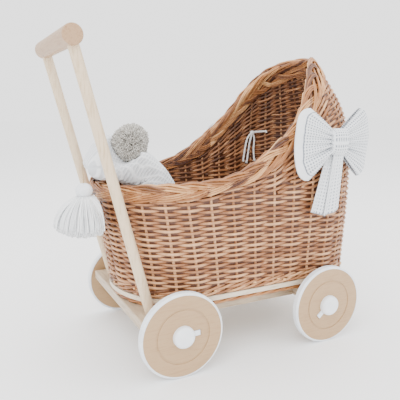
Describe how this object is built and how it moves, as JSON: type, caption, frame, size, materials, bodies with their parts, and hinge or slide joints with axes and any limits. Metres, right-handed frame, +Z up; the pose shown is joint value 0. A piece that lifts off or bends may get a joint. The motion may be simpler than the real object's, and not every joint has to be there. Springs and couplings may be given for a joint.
{
  "type": "doll stroller",
  "caption": "Wicker doll pram with a hooded woven cradle on a wooden chassis, free turning wheels, a push handle, fabric bows, pillow and tassel.",
  "frame": {"origin": "middle of the stroller's bounding box, on the floor under the wheels", "axes": "+X towards the hood, +Y to the stroller's left, +Z up"},
  "size_m": [0.6082, 0.3608, 0.5675],
  "materials": {
    "birch": "clear satin lacquer",
    "bar_wood": "oiled, light end grain",
    "wheel_wood": "fine grained, satin",
    "beech": "planed, unfinished",
    "band": "bleached plywood",
    "wicker": "peeled willow rods",
    "rim_wicker": "peeled willow rods",
    "foot_wicker": "peeled willow rods",
    "tyre_white": "matte",
    "cap_white": "smooth",
    "spacer_plastic": "smooth",
    "steel": "zinc plated",
    "waffle": "waffle weave cotton",
    "waffle_bow": "waffle weave cotton",
    "mattress_cotton": "plain cotton",
    "pompom_yarn": "cut wool yarn",
    "tassel_yarn": "cut cotton yarn",
    "tie_cord": "twisted cotton",
    "twine": "twisted twine",
    "bead_white": "painted bead, satin"
  },
  "bodies": {
    "root": {"base_board": "band", "base_screws": "steel", "basket_wall": "wicker", "bearer_screws": "steel", "bow_left": "waffle_bow", "bow_left_knot": "waffle_bow", "bow_left_tail_front": "waffle_bow", "bow_left_tail_rear": "waffle_bow", "bow_right": "waffle_bow", "bow_right_knot": "waffle_bow", "bow_right_tail_front": "waffle_bow", "bow_right_tail_rear": "waffle_bow", "foot_border": "foot_wicker", "frame_dowels": "beech", "front_axle": "steel", "front_axle_spacers": "spacer_plastic", "front_bearer_left": "beech", "front_bearer_right": "beech", "front_cross_board": "beech", "handle_bar": "bar_wood", "handle_post_left": "birch", "handle_post_right": "birch", "mattress": "mattress_cotton", "rail_left": "beech", "rail_right": "beech", "rear_axle": "steel", "rear_axle_spacers": "spacer_plastic", "rear_bearer_left": "beech", "rear_bearer_right": "beech", "rear_cross_board": "beech", "rim_border": "rim_wicker", "runner_left": "beech", "runner_right": "beech", "tie_left_knot": "tie_cord", "tie_left_tail_1": "tie_cord", "tie_left_tail_2": "tie_cord", "tie_left_tail_3": "tie_cord", "tie_right_knot": "tie_cord", "tie_right_tail_1": "tie_cord", "tie_right_tail_2": "tie_cord", "tie_right_tail_3": "tie_cord"},
    "wheel_rear_right": {"wheel_disc_rear_right": "wheel_wood", "tyre_rear_right": "tyre_white", "hub_cap_rear_right": "cap_white"},
    "wheel_rear_left": {"wheel_disc_rear_left": "wheel_wood", "tyre_rear_left": "tyre_white", "hub_cap_rear_left": "cap_white"},
    "wheel_front_right": {"wheel_disc_front_right": "wheel_wood", "tyre_front_right": "tyre_white", "hub_cap_front_right": "cap_white"},
    "wheel_front_left": {"wheel_disc_front_left": "wheel_wood", "tyre_front_left": "tyre_white", "hub_cap_front_left": "cap_white"},
    "pillow_body": {"pillow": "waffle", "pompom": "pompom_yarn"},
    "tassel_body": {"tassel_cord": "twine", "tassel_bead": "bead_white", "tassel_skirt": "tassel_yarn"}
  },
  "joints": [
    {"name": "rear_right_wheel_turn", "type": "hinge", "parent": "root", "child": "wheel_rear_right", "pos_m": [-0.13099, -0.163, 0.075], "axis": [0, 1, 0], "continuous": true},
    {"name": "rear_left_wheel_turn", "type": "hinge", "parent": "root", "child": "wheel_rear_left", "pos_m": [-0.13099, 0.163, 0.075], "axis": [0, 1, 0], "continuous": true},
    {"name": "front_right_wheel_turn", "type": "hinge", "parent": "root", "child": "wheel_front_right", "pos_m": [0.17401, -0.163, 0.075], "axis": [0, 1, 0], "continuous": true},
    {"name": "front_left_wheel_turn", "type": "hinge", "parent": "root", "child": "wheel_front_left", "pos_m": [0.17401, 0.163, 0.075], "axis": [0, 1, 0], "continuous": true},
    {"name": "pillow_lift", "type": "slide", "parent": "root", "child": "pillow_body", "axis": [0, 0, 1], "range_m": [0, 0.2]},
    {"name": "tassel_swing", "type": "hinge", "parent": "pillow_body", "child": "tassel_body", "pos_m": [-0.25599, -0.045, 0.341], "axis": [0, 1, 0], "range_deg": [0, 50]}
  ]
}
